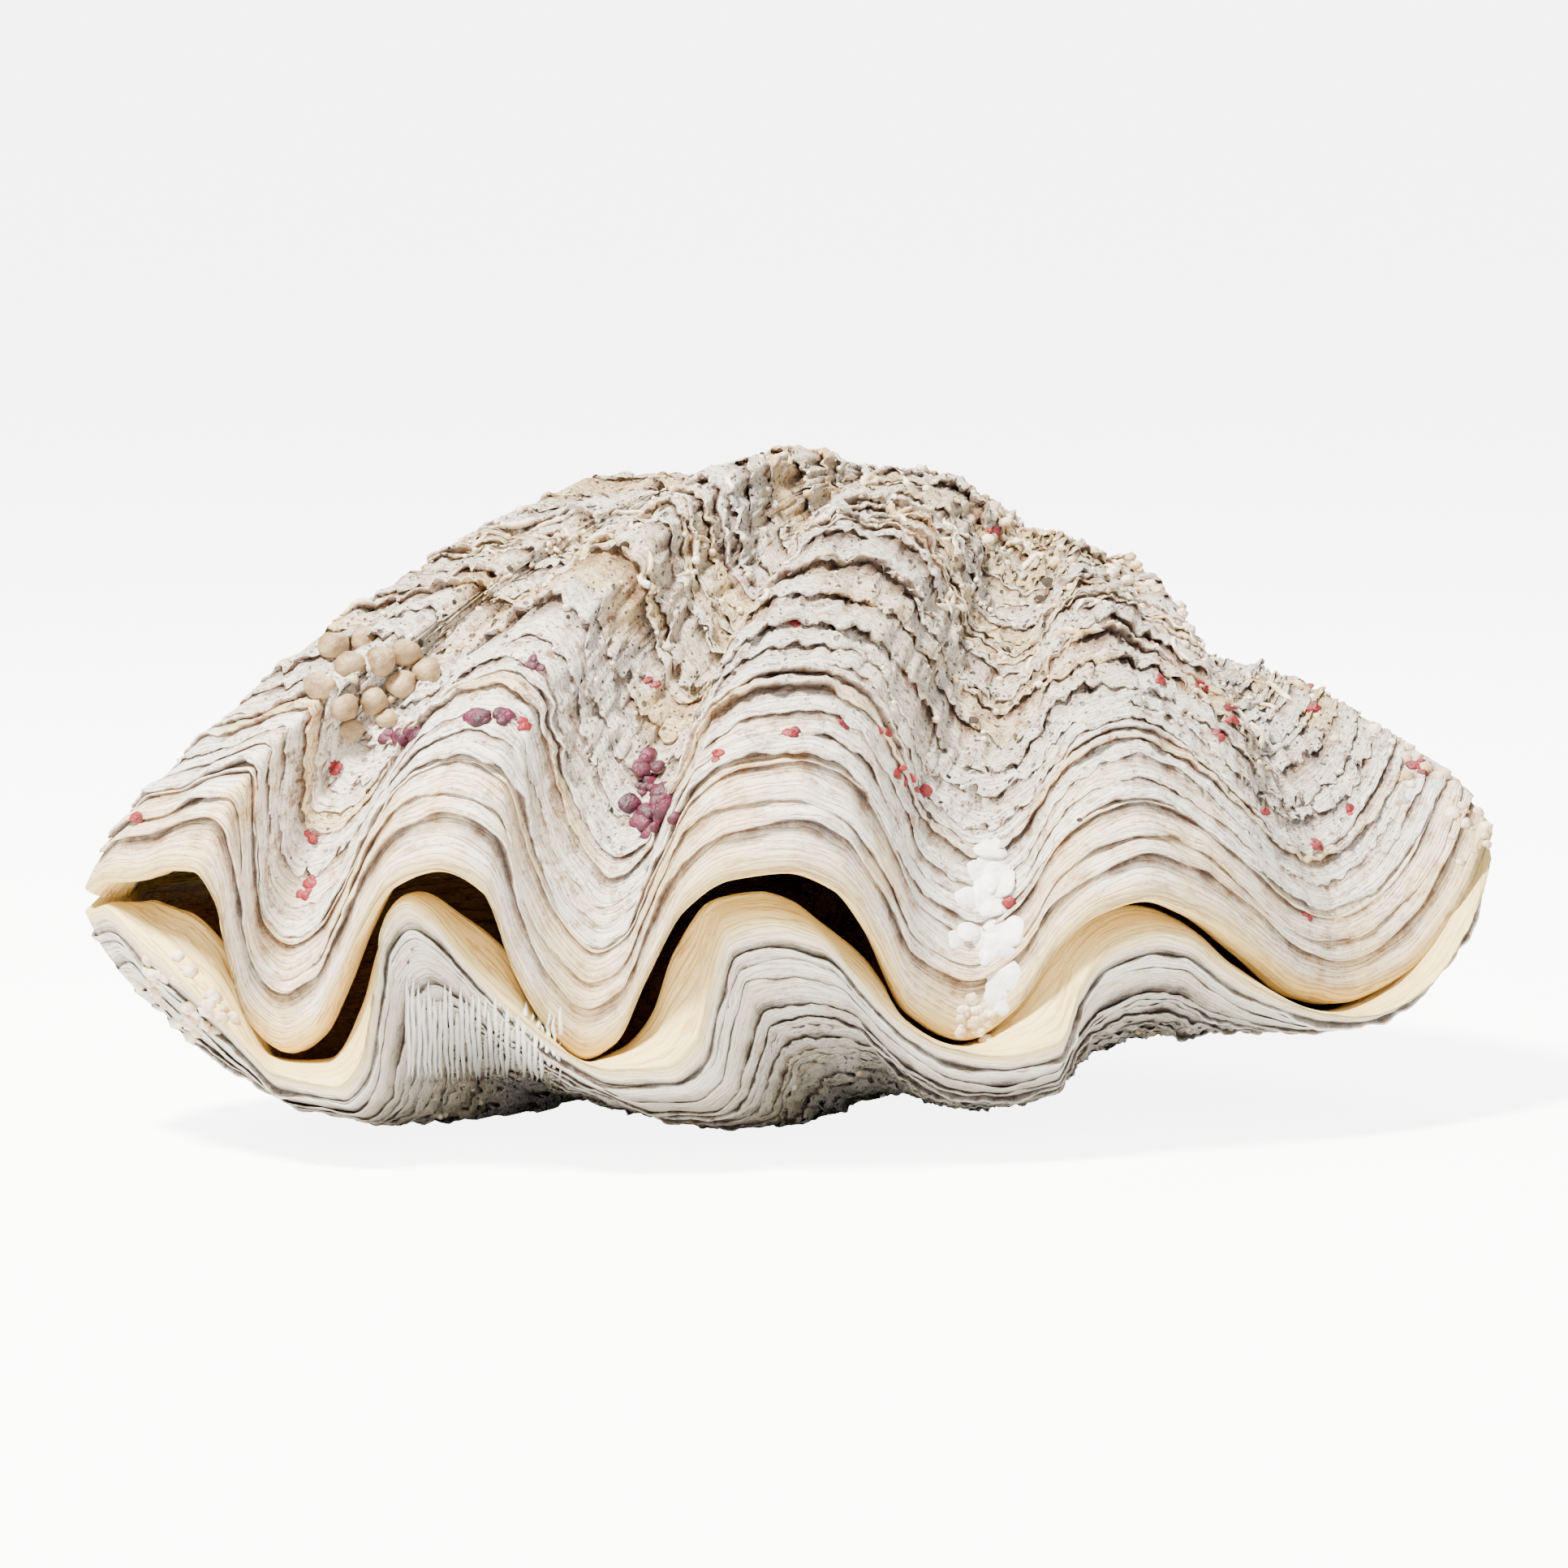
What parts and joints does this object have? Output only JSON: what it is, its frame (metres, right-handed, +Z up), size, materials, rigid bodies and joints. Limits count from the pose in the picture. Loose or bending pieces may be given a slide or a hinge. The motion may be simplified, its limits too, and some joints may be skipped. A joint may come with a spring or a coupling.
{
  "type": "giant clam shell",
  "caption": "Closed giant clam shell, two thick folded valves meeting along a wavy margin, with stepped growth ledges, knobs and a rounded belly it lies on.",
  "frame": {"origin": "centre of the shell's bounding box in plan, on the surface it lies on", "axes": "+X along the shell's length towards the end with the fine growth lines, -Y towards the folded front margin, +Z up"},
  "size_m": [0.317, 0.2086, 0.1492],
  "materials": {
    "warm_white_shell": "matte, rough with growth ledges, satin cream lip",
    "grey_white_shell": "matte, greyer and finer grained, satin cream lip"
  },
  "bodies": {
    "root": {"upper_valve": "warm_white_shell", "lower_valve": "grey_white_shell"}
  },
  "joints": []
}
